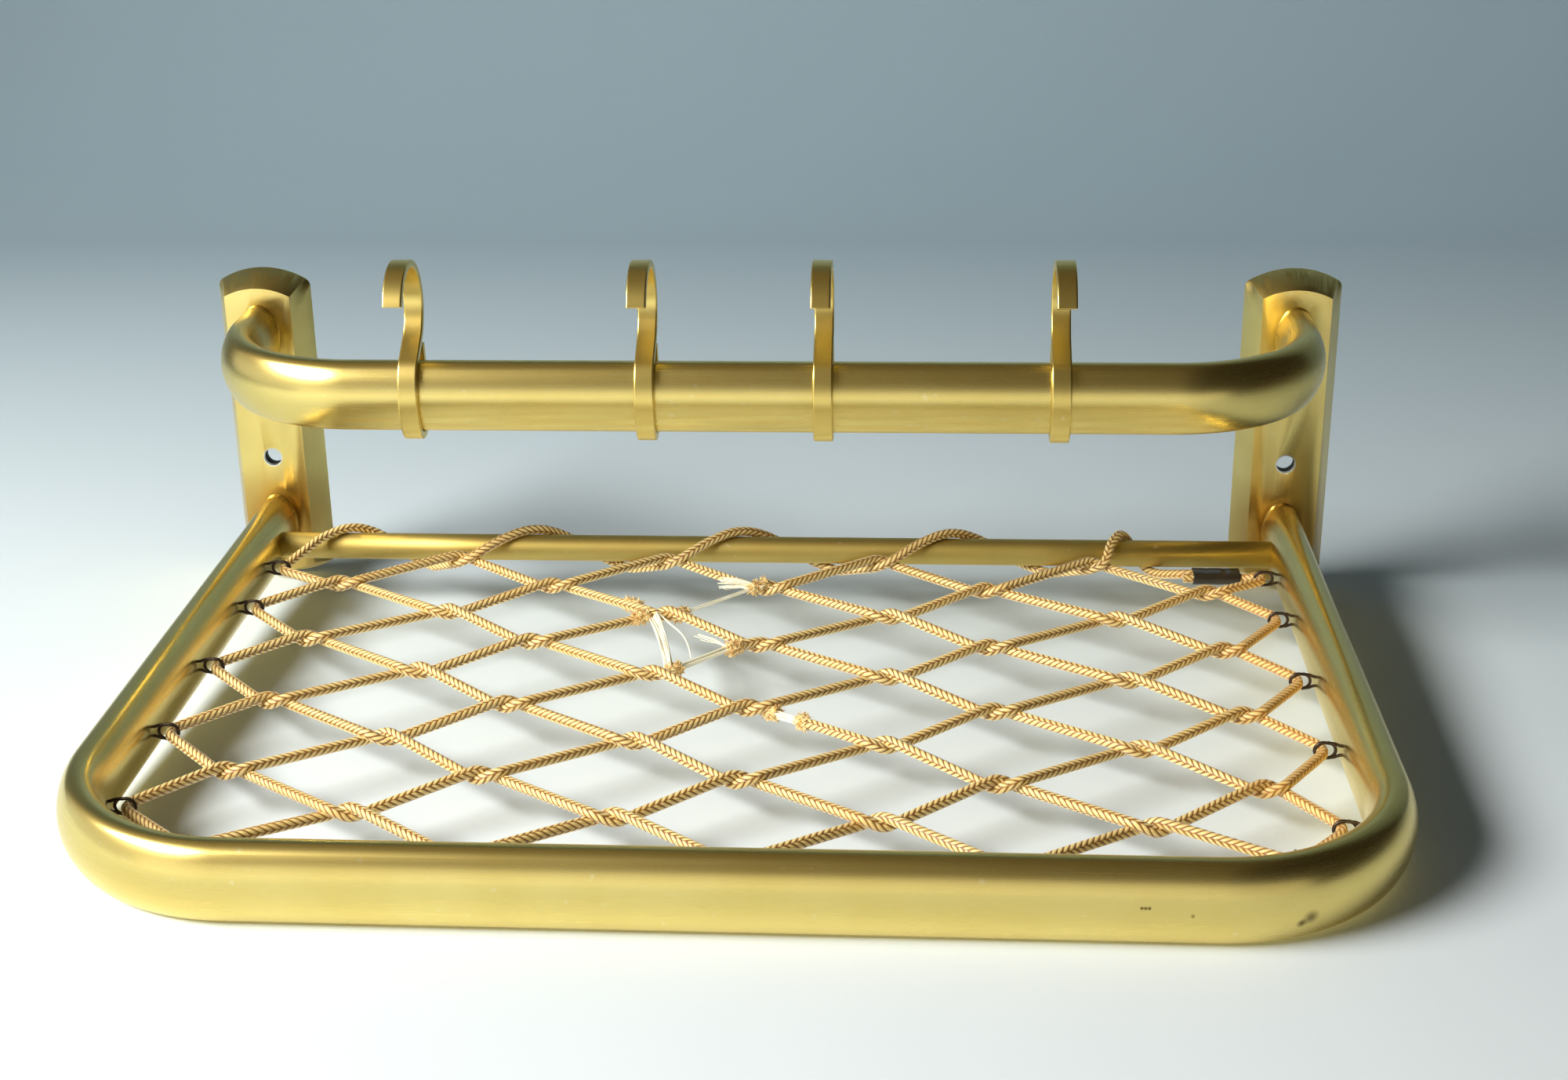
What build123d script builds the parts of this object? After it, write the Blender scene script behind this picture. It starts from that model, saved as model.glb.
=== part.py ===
"""Wall hat and coat rack: pressed wall plates, two bent oval tubes, sliding strip hooks and a laced cord shelf."""

import os
from math import atan2, cos, degrees, radians, sin, sqrt

from build123d import *

os.makedirs("parts", exist_ok=True)

# Millimetres. The origin lies on the wall, midway between the two screw holes; +Z is up and +Y goes into the wall.

# Wall plates
plate_spacing = 459.2
plate_width = 42.0
plate_height = 148.0
plate_arch_rise = 6.5
plate_depth = 14.5
plate_taper = 23.0
plate_wall = 1.8
plate_corner = 4.0
screw_hole_d = 8.0
screw_above_centre = 12.0

# Oval tubes, flared behind the plates' front walls
tube_height = 30.0
tube_depth = 17.7
tube_end_radius = 6.2
tube_wall = 1.5
tube_spacing = 90.6
tube_fit = 0.1
lip_width = 2.0
lip_thickness = 1.5
rail_reach = 96.0
rail_bend = 60.0
shelf_reach = 334.0
shelf_bend = 66.0

# Round crossbar between the shelf's side runs
bar_d = 11.7
bar_wall = 1.2
bar_from_wall = 39.5
bar_insert = 3.0
bar_fit = 0.1

# Strip hooks, closed round the rail
hook_width = 8.0
hook_thickness = 3.2
hook_fit = 0.4
hook_rear_sweep = 8.0
hook_rear_leg = 16.4
hook_under_sweep = 22.5
hook_stem = 10.4
hook_curl_radius = 19.5
hook_curl_sweep = 215.0
hook_1_x = -123.5
hook_2_x = -27.6
hook_3_x = 45.0
hook_4_x = 142.3

# Elastic cord net in the middle plane of the shelf tube
cord_d = 3.9
core_d = 1.9
cord_gap = 0.6
net_columns = 9
net_rows = 9
net_left_margin = 21.5
net_right_margin = 32.5
lace_depth = 12.5
crossing_width = 4.4
eye_run = 3.0
end_gap = 0.3

# Wire eyes that hold the net in the shelf tube
wire_d = 1.1
wire_fit = 0.2
eye_height = 5.5
eye_length = 6.0
eye_corner = 1.4
leg_insert = 2.5
leg_fit = 0.2
side_clip_reach = 7.0
front_clip_reach = 10.3

# Crimped sleeve that joins the laced cord's two ends
ferrule_length = 20.0
ferrule_wall = 0.7
ferrule_fit = 0.15
ferrule_from_eye = 8.0
ferrule_behind_eye = 9.0
ferrule_rise = 3.0
cut_end = 4.0

# Places that the pieces share
half_spacing = plate_spacing / 2
plate_z = -screw_above_centre
shelf_z = plate_z + tube_spacing / 2
rail_z = plate_z - tube_spacing / 2
tube_end = plate_depth - plate_wall - tube_fit - lip_thickness
oval_side_radius = (
    ((tube_height / 2 - tube_end_radius) ** 2 + (tube_depth / 2) ** 2 - tube_end_radius**2)
    / (tube_depth - 2 * tube_end_radius)
)
oval_end_centre = tube_height / 2 - tube_end_radius
oval_side_centre = oval_side_radius - tube_depth / 2
oval_join = degrees(atan2(oval_end_centre, oval_side_centre))
bend_x = half_spacing - shelf_bend
bend_y = shelf_bend - shelf_reach
bend_inner = shelf_bend - tube_depth / 2


def side_wall(y):
    """Distance of a side run's inner face from the middle, at depth y."""
    return bend_x + sqrt(bend_inner**2 - min(0, y - bend_y) ** 2)


def front_wall(x):
    """Depth of the front run's inner face, at width x."""
    return bend_y - sqrt(bend_inner**2 - max(0, abs(x) - bend_x) ** 2)


# The net's lattice: columns run from the left eyes to the right eyes, rows from the crossbar to the front eyes
eye_x = side_wall(0) - side_clip_reach
column_pitch = (2 * eye_x - net_left_margin - net_right_margin) / (net_columns - 1)
column_x = [-eye_x, *(net_left_margin - eye_x + column_pitch * i for i in range(net_columns)), eye_x]
first_row = -bar_from_wall - lace_depth
row_pitch = (first_row - front_wall(0) - front_clip_reach) / net_rows
row_y = [first_row - row_pitch * row for row in range(net_rows + 1)]
cord_offset = (cord_d + cord_gap) / 2
lace_radius = (bar_d / 2 + cord_offset) / cos(radians(30))


def side_eye(side, row):
    """Middle of the cord in an eye of a side run (-1 left, 1 right)."""
    y = row_y[row] if row else row_y[0] - row_pitch / 2
    return Vector(side * (side_wall(y) - side_clip_reach), y, shelf_z)


def front_eye(column):
    """Middle of the cord in an eye of the front run."""
    x = column_x[column]
    return Vector(x, front_wall(x) + front_clip_reach, shelf_z)


side_rows = range(0, net_rows, 2)
front_columns = range(1, net_columns + 1, 2)
eyes = {f"net_clip_left_{i + 1}": (side_eye(-1, r), Vector(-1, 0, 0), side_clip_reach) for i, r in enumerate(side_rows)}
eyes |= {f"net_clip_right_{i + 1}": (side_eye(1, r), Vector(1, 0, 0), side_clip_reach) for i, r in enumerate(side_rows)}
eyes |= {
    f"net_clip_front_{i + 1}": (front_eye(c), Vector(0, -1, 0), front_clip_reach) for i, c in enumerate(front_columns)
}
ferrule_end = Vector(ferrule_from_eye, ferrule_behind_eye, ferrule_rise) + side_eye(-1, 0)
bore_offset = Vector(0, cord_d / 2 + ferrule_fit + cord_gap / 4, 0)


def crossing(column, row, reach):
    """Two corners of a cord hooked round its neighbour; reach is 1 where it comes from the front, -1 from the wall."""
    x, y = column_x[column], row_y[row] + reach * cord_offset
    rise = reach * cord_offset * (1 if row == 0 or column % 2 else -1)
    return [Vector(x - crossing_width / 2, y, shelf_z + rise), Vector(x + crossing_width / 2, y, shelf_z - rise)]


def zigzag(strand):
    """Corners of a cord that zigzags from left to right between the rows strand - 1 and strand."""
    points = []
    for column in range(1, net_columns + 1):
        if column % 2 != strand % 2:
            points += crossing(column, strand - 1, 1)
        elif strand < net_rows:
            points += crossing(column, strand, -1)
        else:
            points += [front_eye(column) - (eye_run, 0, 0), front_eye(column) + (eye_run, 0, 0)]
    return points


def lacing():
    """Corners of the cord that winds round the crossbar from left to right, starting at the ferrule."""
    stops = [ferrule_end.X + ferrule_length + eye_run, *column_x[2::2]]
    points = []
    for i, (start, end) in enumerate(zip(stops, stops[1:])):
        for share, angle in ((0.23, 285), (0.39, 225), (0.54, 165), (0.69, 105), (0.84, 45)):
            y = -bar_from_wall - lace_radius * cos(radians(angle))
            z = shelf_z - lace_radius * sin(radians(angle))
            points.append(Vector(start + share * (end - start), y, z))
        if end < eye_x:
            points += crossing(2 * i + 2, 0, -1)
    return points


def through_eye(side, row):
    """Corners of a cord that passes through a side eye from the wall's side to the front."""
    return [side_eye(side, row) + (0, eye_run, 0), side_eye(side, row) - (0, eye_run, 0)]


def sweep_cord(points, diameter):
    """Cord with mitred corners along a line of points."""
    with BuildLine() as route:
        Polyline(*points)
    with BuildSketch(Plane(route.line @ 0, z_dir=route.line % 0)) as section:
        RegularPolygon(diameter / 2, 6)
    sweep(section.sketch, path=route.line, transition=Transition.RIGHT)


def oval(grow):
    """Outline of the tube's oval, four tangent arcs, moved outwards by grow."""
    with BuildSketch() as outline:
        with BuildLine():
            CenterArc((-oval_side_centre, 0), oval_side_radius + grow, -oval_join, 2 * oval_join)
            CenterArc((0, oval_end_centre), tube_end_radius + grow, oval_join, 180 - 2 * oval_join)
            CenterArc((oval_side_centre, 0), oval_side_radius + grow, 180 - oval_join, 2 * oval_join)
            CenterArc((0, -oval_end_centre), tube_end_radius + grow, 180 + oval_join, 180 - 2 * oval_join)
        make_face()
    return outline.sketch


def bore():
    """Outline of the tube's bore, eight flats inside the wall."""
    end_radius = tube_end_radius - tube_wall
    side, crown = tube_depth / 2 - tube_wall, tube_height / 2 - tube_wall
    join_x, join_y = end_radius * cos(radians(oval_join)), oval_end_centre + end_radius * sin(radians(oval_join))
    upper = [(side, 0), (join_x, join_y), (0, crown), (-join_x, join_y)]
    with BuildSketch() as outline:
        with BuildLine():
            Polyline(*upper, *((-x, -y) for x, y in upper), close=True)
        make_face()
    return outline.sketch


def wall_plate(x):
    """Pressed shell with arched ends and drafted sides, open towards the wall."""
    side, crown = plate_height / 2 - plate_arch_rise, plate_height / 2
    with BuildPart() as plate:
        with BuildSketch(Plane.XZ) as outline:
            with BuildLine():
                right = Line((x + plate_width / 2, plate_z - side), (x + plate_width / 2, plate_z + side))
                top = ThreePointArc(right @ 1, (x, plate_z + crown), (x - plate_width / 2, plate_z + side))
                left = Line(top @ 1, (x - plate_width / 2, plate_z - side))
                ThreePointArc(left @ 1, (x, plate_z - crown), right @ 0)
            make_face()
            fillet(outline.vertices(), plate_corner)
        extrude(amount=plate_depth, taper=plate_taper)
        with BuildSketch(Plane.XZ):
            offset(outline.sketch_local, amount=-plate_wall / cos(radians(plate_taper)), kind=Kind.INTERSECTION)
        extrude(amount=plate_depth - plate_wall, taper=plate_taper, mode=Mode.SUBTRACT)
        with BuildSketch(Plane.XZ):
            with Locations((x, 0)):
                Circle(screw_hole_d / 2)
            with Locations((x, shelf_z), (x, rail_z)):
                add(oval(tube_fit))
        extrude(amount=plate_depth, mode=Mode.SUBTRACT)
    return plate


def half_tube(reach, bend, z):
    """Left half of an oval tube bent to a U, its end flared to a lip behind the plate's front wall."""
    with BuildPart() as tube:
        with BuildSketch(Plane((-half_spacing, bend - reach, z), x_dir=(1, 0, 0), z_dir=(0, -1, 0))) as section:
            add(oval(0))
            add(bore(), mode=Mode.SUBTRACT)
        extrude(amount=tube_end + bend - reach)
        revolve(section.sketch, axis=Axis((bend - half_spacing, bend - reach, z), (0, 0, 1)), revolution_arc=90)
        with BuildSketch(Plane((bend - half_spacing, -reach, z), x_dir=(0, 1, 0), z_dir=(1, 0, 0))):
            add(oval(0))
            add(bore(), mode=Mode.SUBTRACT)
        extrude(amount=half_spacing - bend)
        with BuildSketch(Plane((-half_spacing, -tube_end, z), x_dir=(1, 0, 0), z_dir=(0, -1, 0))):
            add(oval(lip_width))
            add(bore(), mode=Mode.SUBTRACT)
        extrude(amount=lip_thickness)
    return tube


def coat_hook(x):
    """Bent strip: a ring closed round the oval rail, with a rear leg and a J-shaped curl in front."""
    gap = hook_fit + hook_thickness / 2
    with BuildPart() as hook:
        with BuildSketch(Plane((x - hook_width / 2, -rail_reach, rail_z), x_dir=(0, 1, 0), z_dir=(1, 0, 0))):
            with BuildLine():
                rear = CenterArc(
                    (-oval_side_centre, 0), oval_side_radius + gap, -hook_rear_sweep, hook_rear_sweep + oval_join
                )
                Line(rear @ 0, rear @ 0 - (rear % 0) * hook_rear_leg)
                CenterArc((0, oval_end_centre), tube_end_radius + gap, oval_join, 180 - 2 * oval_join)
                CenterArc((oval_side_centre, 0), oval_side_radius + gap, 180 - oval_join, 2 * oval_join)
                under = CenterArc((0, -oval_end_centre), tube_end_radius + gap, 180 + oval_join, hook_under_sweep)
                stem = Line(under @ 1, under @ 1 + (under % 1) * hook_stem)
                JernArc(stem @ 1, stem % 1, radius=hook_curl_radius, arc_size=-hook_curl_sweep)
            trace(line_width=hook_thickness)
        extrude(amount=hook_width)
    return hook


def wire_eye(cord_middle, towards_tube, wall_distance):
    """Wire eye round the cord, with two legs through the shelf tube's inner wall."""
    bar = -(cord_d / 2 + wire_fit + wire_d / 2)
    tip = wall_distance + tube_wall + leg_insert
    top, end = eye_height / 2, bar + eye_length
    corner = top - eye_corner
    upright = Plane(cord_middle, x_dir=towards_tube, z_dir=towards_tube.cross(Vector(0, 0, 1)))
    with BuildPart() as eye:
        with BuildLine(upright) as hairpin:
            Polyline(
                (tip, top), (bar + eye_corner, top), (bar, corner), (bar, -corner), (bar + eye_corner, -top), (tip, -top)
            )
        with BuildSketch(Plane(hairpin.line @ 0, z_dir=hairpin.line % 0)):
            Rectangle(wire_d, wire_d)
        sweep(path=hairpin.line, transition=Transition.RIGHT)
        with BuildLine(upright) as closing:
            Polyline((end - eye_corner, top), (end, corner), (end, -corner), (end - eye_corner, -top))
        with BuildSketch(Plane(closing.line @ 0, z_dir=closing.line % 0)):
            Rectangle(wire_d, wire_d)
        sweep(path=closing.line, transition=Transition.RIGHT)
    return eye


def net_loop(row, column=None, bare_from=0.0, bare_to=0.0):
    """Cord loop between two opposite side eyes, its cover broken on the leg right of a column where one is given."""
    back, front = zigzag(row), zigzag(row + 1)
    with BuildPart() as loop:
        if column:
            start, end = back[2 * column - 1], back[2 * column]
            leg = end - start
            route = [start + leg * bare_to, *back[2 * column :], *through_eye(1, row), *front[::-1]]
            route += [*through_eye(-1, row)[::-1], *back[: 2 * column], start + leg * bare_from]
            sweep_cord(route, cord_d)
            hidden = leg.normalized() * cord_d
            sweep_cord([start + leg * bare_from - hidden, start + leg * bare_to + hidden], core_d)
        else:
            meeting = Vector(0, end_gap / 2, 0)
            route = [side_eye(1, row) - meeting, through_eye(1, row)[1], *front[::-1], *through_eye(-1, row)[::-1]]
            sweep_cord([*route, *back, through_eye(1, row)[0], side_eye(1, row) + meeting], cord_d)
    return loop


wall_plate_left = wall_plate(-half_spacing)
wall_plate_right = wall_plate(half_spacing)

with BuildPart() as coat_rail:
    add(half_tube(rail_reach, rail_bend, rail_z).part)
    mirror(about=Plane.YZ)

with BuildPart() as shelf_tube:
    add(half_tube(shelf_reach, shelf_bend, shelf_z).part)
    with BuildSketch(Plane((bar_insert - side_wall(0), -bar_from_wall, shelf_z), z_dir=(-1, 0, 0))):
        Circle(bar_d / 2 + bar_fit)
    extrude(amount=2 * bar_insert, mode=Mode.SUBTRACT)
    for row in side_rows:
        before_wall = side_eye(-1, row) - (side_clip_reach - leg_insert, 0, 0)
        with BuildSketch(Plane(before_wall, x_dir=(0, 0, 1), z_dir=(-1, 0, 0))):
            Rectangle(eye_height + wire_d + 2 * leg_fit, wire_d + 2 * leg_fit)
        extrude(amount=2 * leg_insert + tube_wall, mode=Mode.SUBTRACT)
    mirror(about=Plane.YZ)
    for column in front_columns:
        before_wall = front_eye(column) - (0, front_clip_reach - leg_insert, 0)
        with BuildSketch(Plane(before_wall, x_dir=(0, 0, 1), z_dir=(0, -1, 0))):
            Rectangle(eye_height + wire_d + 2 * leg_fit, wire_d + 2 * leg_fit)
        extrude(amount=2 * leg_insert + tube_wall, mode=Mode.SUBTRACT)

with BuildPart() as shelf_crossbar:
    with BuildSketch(Plane((0, -bar_from_wall, shelf_z), z_dir=(1, 0, 0))):
        Circle(bar_d / 2)
        Circle(bar_d / 2 - bar_wall, mode=Mode.SUBTRACT)
    extrude(amount=side_wall(0) + bar_insert, both=True)

with BuildPart() as cord_ferrule:
    with BuildSketch(Plane(ferrule_end, x_dir=(0, 1, 0), z_dir=(1, 0, 0))):
        SlotCenterToCenter(2 * bore_offset.Y, cord_d + 2 * (ferrule_fit + ferrule_wall))
        with Locations((bore_offset.Y, 0), (-bore_offset.Y, 0)):
            Circle(cord_d / 2 + ferrule_fit, mode=Mode.SUBTRACT)
    extrude(amount=ferrule_length)

with BuildPart() as net_loop_1:
    inner_end = ferrule_end + (ferrule_length, 0, 0)
    laced = [ferrule_end + bore_offset + (end_gap, 0, 0), inner_end + bore_offset + (eye_run, 0, 0), *lacing()]
    returned = [ferrule_end - bore_offset - (eye_run, 0, 0), inner_end - bore_offset + (cut_end, 0, 0)]
    around = [*through_eye(1, 0), *zigzag(1)[::-1], *through_eye(-1, 0)[::-1]]
    sweep_cord([*laced, *around, *returned], cord_d)

pieces = {
    "wall_plate_left": wall_plate_left,
    "wall_plate_right": wall_plate_right,
    "coat_rail": coat_rail,
    "shelf_tube": shelf_tube,
    "shelf_crossbar": shelf_crossbar,
    "cord_ferrule": cord_ferrule,
    "net_loop_1": net_loop_1,
    "net_loop_2": net_loop(2, column=5, bare_from=0.15, bare_to=0.82),
    "net_loop_3": net_loop(4, column=5, bare_from=0.27, bare_to=0.75),
    "net_loop_4": net_loop(6, column=4, bare_from=0.64, bare_to=0.88),
    "net_loop_5": net_loop(8),
}
pieces |= {f"coat_hook_{i}": coat_hook(x) for i, x in enumerate((hook_1_x, hook_2_x, hook_3_x, hook_4_x), 1)}
pieces |= {name: wire_eye(*eye) for name, eye in eyes.items()}

for name, piece in pieces.items():
    piece.part.label = name
    export_step(piece.part, f"parts/{name}.step")
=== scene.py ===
# %% [markdown]
# # A wall coat rack with a laced hat shelf
# The rack hangs on a wall by two pressed plates. Two bent oval tubes of gold anodised aluminium carry
# everything else: the lower one holds four sliding strip hooks, the upper one is the rim of a net of
# elastic cord. The CAD model is loaded first, as a fixed frame in metres, and every cell below dresses
# a part of it.

# %% Load the frame
import math
import random

import bmesh
import bpy
from mathutils import Matrix, Vector


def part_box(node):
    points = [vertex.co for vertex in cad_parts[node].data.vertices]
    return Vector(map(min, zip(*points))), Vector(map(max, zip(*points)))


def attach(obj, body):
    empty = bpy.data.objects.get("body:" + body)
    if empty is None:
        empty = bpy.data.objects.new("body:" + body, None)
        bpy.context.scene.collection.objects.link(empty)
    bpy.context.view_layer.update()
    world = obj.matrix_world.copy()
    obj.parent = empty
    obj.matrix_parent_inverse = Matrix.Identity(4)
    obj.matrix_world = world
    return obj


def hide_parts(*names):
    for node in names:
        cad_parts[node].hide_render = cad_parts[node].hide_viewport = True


MM = 0.001
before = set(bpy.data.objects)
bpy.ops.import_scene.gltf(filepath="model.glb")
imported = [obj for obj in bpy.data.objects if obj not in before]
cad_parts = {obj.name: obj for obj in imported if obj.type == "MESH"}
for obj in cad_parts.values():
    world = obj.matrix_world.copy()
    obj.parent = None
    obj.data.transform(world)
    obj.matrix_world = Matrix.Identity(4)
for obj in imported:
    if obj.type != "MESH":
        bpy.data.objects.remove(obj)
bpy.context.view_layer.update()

# %% [markdown]
# ## Camera
# The photograph shows the rack upside down on a table, standing on its shelf. The model keeps the way
# it hangs in use, so the camera is the one that is turned over: its up direction points down the wall.
# A rotation given as three directions is easier to read here than three angles.

# %% Camera
camera_data = bpy.data.cameras.new("camera")
camera_data.sensor_fit = "HORIZONTAL"
camera_data.sensor_width = 36.0
camera_data.lens = 51.645
camera_data.shift_x = 0.02084
camera_data.shift_y = -0.0012
camera = bpy.data.objects.new("camera", camera_data)
bpy.context.scene.collection.objects.link(camera)
right = Vector((-0.997292, 0.07128, 0.018102))
up = Vector((0.009739, 0.371976, -0.928191))
back = right.cross(up)
camera.matrix_world = Matrix(
    (
        (right.x, up.x, back.x, -0.06567),
        (right.y, up.y, back.y, -0.97030),
        (right.z, up.z, back.z, -0.34602),
        (0, 0, 0, 1),
    )
)
bpy.context.scene.camera = camera
bpy.context.scene.view_settings.view_transform = "Standard"
print("camera looks along", [round(v, 3) for v in -back])

# %% [markdown]
# ## Helpers for colours, nodes and objects
# Colours are written as sRGB hex values, the way a colour picker shows them, and turned to the linear
# values that shaders work in. Node trees are built in code with one function: it adds a node, sets its
# options, and fills each input with a value or with a link from a socket, or from a node's first
# output. Sockets go by name, or by number where a node has several of one name: Map Range takes its
# value as 0, the range it comes from as 1 and 2 and the range it goes to as 3 and 4, and Mix takes its
# factor as 0 and its colours as 6 and 7.


# %% Helpers
def colour(hex_value):
    channels = [int(hex_value[i : i + 2], 16) / 255 for i in (1, 3, 5)]
    linear = [c / 12.92 if c <= 0.04045 else ((c + 0.055) / 1.055) ** 2.4 for c in channels]
    return (*linear, 1.0)


def node(tree, kind, inputs={}, **settings):
    made = tree.nodes.new(kind)
    for name, value in settings.items():
        setattr(made, name, value)
    for socket, value in inputs.items():
        if isinstance(value, bpy.types.Node):
            value = value.outputs[0]
        if isinstance(value, bpy.types.NodeSocket):
            tree.links.new(value, made.inputs[socket])
        else:
            made.inputs[socket].default_value = value
    return made


def new_material(name):
    """A material with its empty tree, and each point's place in the object's own coordinates."""
    material = bpy.data.materials.new(name)
    material.use_nodes = True
    tree = material.node_tree
    tree.nodes.clear()
    print("finish", name)
    return material, tree, node(tree, "ShaderNodeTexCoord").outputs["Object"]


def new_object(name, data):
    made = bpy.data.objects.new(name, data)
    bpy.context.scene.collection.objects.link(made)
    return made


# %% [markdown]
# ## The paper sweep
# A pale sweep of paper runs under the rack and up behind it. The table of the photograph lies above the
# model here, because the rack stands on its head there, so the sweep is laid out upright, as the
# photograph shows it, and then turned half a turn about the depth axis. It slopes a little, because the
# plates reach further than the shelf's rim. Paper seen from its back lets the view through, which keeps
# the rack visible from all sides.

# %% Paper sweep
# The rim's reach is in millimetres, as the CAD model's sizes are; the paper is laid out in metres.
RIM_REACH = 334.0
SHELF_TOP = 0.0482
TABLE_RISE = 13.8 / RIM_REACH
TABLE_DROP = 0.0145
PAPER_FRONT, PAPER_BEND, BEND_SIZE, PAPER_TOP, HALF_WIDTH = -2.2, 0.75, 0.5, 2.4, 2.6


def upright(x, y, z):
    """A point given the way the photograph stands, turned to the way the rack hangs."""
    return Vector((-x, y, SHELF_TOP - z))


profile = [(PAPER_FRONT, 0.0), (PAPER_BEND, 0.0)]
for degrees in range(5, 91, 5):
    turn = math.radians(degrees)
    profile.append((PAPER_BEND + BEND_SIZE * math.sin(turn), BEND_SIZE - BEND_SIZE * math.cos(turn)))
profile.append((PAPER_BEND + BEND_SIZE, PAPER_TOP))
paper = bmesh.new()
rows = []
for y, z in profile:
    z -= TABLE_DROP + min(y, PAPER_BEND) * TABLE_RISE
    rows.append([paper.verts.new(upright(x, y, z)) for x in (-HALF_WIDTH, HALF_WIDTH)])
for (a, b), (c, d) in zip(rows, rows[1:]):
    paper.faces.new((a, b, d, c))
sweep_mesh = bpy.data.meshes.new("paper_sweep")
paper.to_mesh(sweep_mesh)
paper.free()
sweep_mesh.shade_smooth()
sweep = new_object("paper_sweep", sweep_mesh)
print("sweep faces look along", [round(v, 2) for v in sweep_mesh.polygons[0].normal])

# %% Matt paper
# Matt paper has no gloss. Its tone cools towards the back to a blue-grey and also darkens there: painted
# shade, for the light that falls off towards the back.
paper_finish, tree, place = new_material("matt_paper")
along = node(tree, "ShaderNodeSeparateXYZ", {0: place})
depth = node(tree, "ShaderNodeMapRange", {0: along.outputs["Y"], 1: -0.7, 2: 0.9})
# Painted shade: the paper is painted darker towards the back.
tone_and_painted_shade = node(tree, "ShaderNodeMix", {0: depth, 6: colour("#EBF1F4"), 7: colour("#B3CAD6")}, data_type="RGBA")
surface = node(tree, "ShaderNodeBsdfDiffuse", {"Color": tone_and_painted_shade.outputs[2]})
clear = node(tree, "ShaderNodeBsdfTransparent")
side = node(tree, "ShaderNodeNewGeometry").outputs["Backfacing"]
path = node(tree, "ShaderNodeLightPath").outputs
through = node(tree, "ShaderNodeMath", {0: side, 1: path["Is Shadow Ray"]}, operation="MAXIMUM")
# Past the picture's edges, 1.3 to 1.6 m out, the eye sees the paper fade into the pale surroundings.
reach = node(tree, "ShaderNodeVectorMath", {0: place, 1: (0.0, 0.3, SHELF_TOP)}, operation="DISTANCE")
faded = node(tree, "ShaderNodeMapRange", {0: reach.outputs["Value"], 1: 1.3, 2: 1.6})
unseen = node(tree, "ShaderNodeMath", {0: faded, 1: path["Is Camera Ray"]}, operation="MULTIPLY")
gone = node(tree, "ShaderNodeMath", {0: through, 1: unseen}, operation="MAXIMUM")
mixed = node(tree, "ShaderNodeMixShader", {0: gone, 1: surface, 2: clear})
node(tree, "ShaderNodeOutputMaterial", {"Surface": mixed})
sweep_mesh.materials.append(paper_finish)

# %% [markdown]
# ## Light
# The photograph is lit from its left by a large soft source, in a dim room. Satin metal shows all of
# that: bright where it mirrors something pale, brown where it mirrors the room. So there is one broad
# lamp at the left, held to a cone of 120 degrees to spare the table nearest to it, and a low pale card
# under the camera, which gives the bright line along the tubes. A lamp beyond the table lights the
# shelf for views from above. The room is warm and dim, darker towards the right, and its share in the
# diffuse light is cut and neutral, so that shadows stay deep. The eye sees pale surroundings instead,
# and metal mirrors those where they are open: level with it and towards the window.

# %% Lamps


def lamp(name, place, aim, width, height, watts, tint, shape="ELLIPSE", spread=180):
    data = bpy.data.lights.new(name, "AREA")
    data.spread = math.radians(spread)
    data.shape = shape
    data.size = width
    data.size_y = height
    data.energy = watts
    data.color = colour(tint)[:3]
    made = new_object(name, data)
    made.visible_camera = False
    turned = (aim - place).to_track_quat("-Z", "Y").to_matrix().to_4x4()
    made.matrix_world = Matrix.Translation(place) @ turned
    print("lamp", name, watts, "W")


middle = upright(0, -0.2, 0.05)
lamp("left_window", upright(-1.25, -0.85, 1.05), middle, 1.3, 0.55, 24, "#FFFCF6", spread=120)
lamp("low_card", upright(-0.1, -0.8, 0.1), upright(-0.1, 0, 0.1), 1.8, 0.2, 0.7, "#FFFDF8", "RECTANGLE")
lamp("beyond_table", upright(-0.3, 0.1, -1.4), middle, 1.6, 1.6, 16, "#FFFFFF")

# %% World
world = bpy.data.worlds.new("dim_room")
bpy.context.scene.world = world
world.use_nodes = True
tree = world.node_tree
tree.nodes.clear()
path = node(tree, "ShaderNodeLightPath").outputs
direction = node(tree, "ShaderNodeSeparateXYZ", {0: node(tree, "ShaderNodeTexCoord").outputs["Generated"]})
leftward = node(tree, "ShaderNodeMapRange", {0: direction.outputs["X"], 1: -0.35, 2: 0.5, 3: 0.03, 4: 0.36})
below = node(tree, "ShaderNodeMapRange", {0: direction.outputs["Z"], 1: -0.1, 2: 0.6, 4: 0.5})
strength = node(tree, "ShaderNodeMath", {0: leftward, 1: below}, operation="ADD")
share = node(tree, "ShaderNodeMapRange", {0: path["Is Diffuse Ray"], 3: 1.0, 4: 0.15})
dimmed = node(tree, "ShaderNodeMath", {0: strength, 1: share}, operation="MULTIPLY")
tint = node(
    tree,
    "ShaderNodeMix",
    {0: path["Is Diffuse Ray"], 6: colour("#E4CFA8"), 7: colour("#E2E0DA")},
    data_type="RGBA",
)
room = node(tree, "ShaderNodeBackground", {"Color": tint.outputs[2], "Strength": dimmed})
seen = node(tree, "ShaderNodeBackground", {"Color": colour("#E6EAED"), "Strength": 0.95})
glossy = node(
    tree, "ShaderNodeMath", {0: path["Is Glossy Ray"], 1: path["Is Transmission Ray"]}, operation="MAXIMUM"
)
slope = node(tree, "ShaderNodeMath", {0: direction.outputs["Z"]}, operation="ABSOLUTE")
level = node(tree, "ShaderNodeMapRange", {0: slope, 1: 0.1, 2: 0.4, 3: 1.0, 4: 0.0})
open_side = node(tree, "ShaderNodeMapRange", {0: direction.outputs["X"], 1: -0.3, 2: 0.4})
open_part = node(tree, "ShaderNodeMath", {0: level, 1: open_side}, operation="MULTIPLY")
mirrored = node(tree, "ShaderNodeMath", {0: glossy, 1: open_part}, operation="MULTIPLY")
shown = node(tree, "ShaderNodeMath", {0: path["Is Camera Ray"], 1: mirrored}, operation="MAXIMUM")
mixed = node(tree, "ShaderNodeMixShader", {0: shown, 1: room, 2: seen})
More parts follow.
